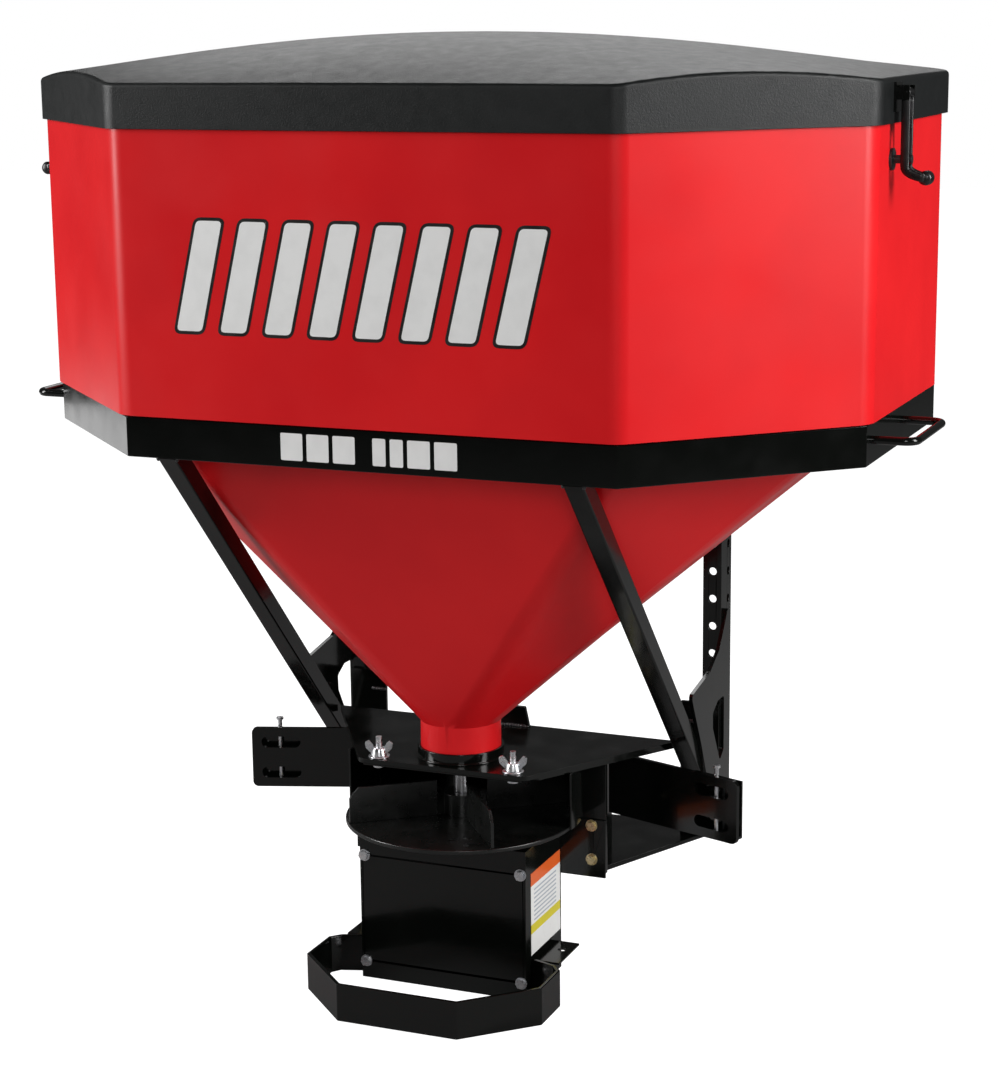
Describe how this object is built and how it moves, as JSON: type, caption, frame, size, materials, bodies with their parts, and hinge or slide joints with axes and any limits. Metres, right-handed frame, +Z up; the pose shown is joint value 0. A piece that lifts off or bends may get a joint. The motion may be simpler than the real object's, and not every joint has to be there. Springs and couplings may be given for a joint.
{
  "type": "tailgate salt spreader",
  "caption": "Tailgate salt spreader: lidded hopper with a tapering cone on a steel frame, a feed gate, and a motor-driven spinner disc behind a guard bar.",
  "frame": {"origin": "middle of the hitch pin bore, on the centre line of the square hitch tube", "axes": "+X across the vehicle to the right as seen from behind the spreader, +Y towards the vehicle, +Z up"},
  "size_m": [1.216, 0.68, 1.235],
  "materials": {
    "red_poly": "satin moulded polyethylene",
    "black_poly": "fine textured polyethylene",
    "rubber": "matt",
    "frame_black": "gloss powder coat",
    "disc_black": "satin powder coat",
    "zinc": "bright zinc plate",
    "yellow_zinc": "yellow zinc plate",
    "gear_steel": "machined",
    "cast": "as cast",
    "bronze": "sintered",
    "label": "printed film",
    "black_plastic": "moulded nylon"
  },
  "bodies": {
    "frame": {"hopper": "red_poly", "support_band": "frame_black", "base_plate": "frame_black", "lower_plate": "frame_black", "hitch_tube": "frame_black", "hitch_cross_plate": "frame_black", "hitch_gusset": "frame_black", "hitch_saddle": "frame_black", "nozzle_collar": "frame_black", "gate_bolts": "zinc", "wing_nuts": "zinc", "spinner_shrouds": "frame_black", "gearbox_case": "cast", "gearbox_cover": "cast", "shaft_bearings": "bronze", "shaft_seal": "rubber", "motor_can": "frame_black", "motor_housing_cover": "frame_black", "motor_housing_back": "frame_black", "housing_bolts": "zinc", "gearbox_spacers": "gear_steel", "warning_label": "label", "cable_gland": "black_plastic", "guard_loop": "frame_black", "guard_tabs": "frame_black", "frame_bolts": "yellow_zinc", "mast_bolts": "yellow_zinc", "left_front_strut": "frame_black", "left_mast": "frame_black", "left_mast_foot": "frame_black", "left_mast_gusset": "frame_black", "left_arm": "frame_black", "left_frame_side_plate": "frame_black", "left_grab_handle": "frame_black", "left_latch_keeper": "black_plastic", "right_front_strut": "frame_black", "right_mast": "frame_black", "right_mast_foot": "frame_black", "right_mast_gusset": "frame_black", "right_arm": "frame_black", "right_frame_side_plate": "frame_black", "right_grab_handle": "frame_black", "right_latch_keeper": "black_plastic"},
    "lid": {"lid": "black_poly", "lid_gasket": "rubber", "left_latch_bracket": "frame_black", "right_latch_bracket": "frame_black"},
    "left_latch": {"left_latch_strap": "rubber"},
    "right_latch": {"right_latch_strap": "rubber"},
    "spinner": {"spinner_shaft": "gear_steel", "drive_gear": "gear_steel", "spinner_hub": "disc_black", "spinner_disc": "disc_black", "spinner_vanes": "disc_black", "agitator": "gear_steel"},
    "motor_rotor": {"motor_armature": "gear_steel", "motor_pinion": "gear_steel"},
    "feed_gate": {"feed_gate": "frame_black"},
    "left_arm_pin": {"left_arm_pin": "zinc"},
    "right_arm_pin": {"right_arm_pin": "zinc"}
  },
  "joints": [
    {"name": "lid_lift", "type": "slide", "parent": "frame", "child": "lid", "axis": [0, 0, 1], "range_m": [0, 0.2]},
    {"name": "left_latch_swing", "type": "hinge", "parent": "lid", "child": "left_latch", "pos_m": [-0.574, -0.322, 0.964], "axis": [0, 1, 0], "range_deg": [0, 110]},
    {"name": "right_latch_swing", "type": "hinge", "parent": "lid", "child": "right_latch", "pos_m": [0.574, -0.322, 0.964], "axis": [0, -1, 0], "range_deg": [0, 110]},
    {"name": "spinner_spin", "type": "hinge", "parent": "frame", "child": "spinner", "pos_m": [0, -0.33, 0.023], "axis": [0, 0, 1], "continuous": true},
    {"name": "motor_spin", "type": "hinge", "parent": "frame", "child": "motor_rotor", "pos_m": [-0.036, -0.33, -0.047], "axis": [0, 0, 1], "continuous": true},
    {"name": "feed_gate_slide", "type": "slide", "parent": "frame", "child": "feed_gate", "axis": [0, -1, 0], "range_m": [0, 0.016]},
    {"name": "left_arm_pin_lift", "type": "slide", "parent": "frame", "child": "left_arm_pin", "axis": [0, 0, 1], "range_m": [0, 0.12]},
    {"name": "right_arm_pin_lift", "type": "slide", "parent": "frame", "child": "right_arm_pin", "axis": [0, 0, 1], "range_m": [0, 0.12]}
  ],
  "couplings": [
    {"joint": "motor_spin", "follows": "spinner_spin", "ratio": -3}
  ]
}
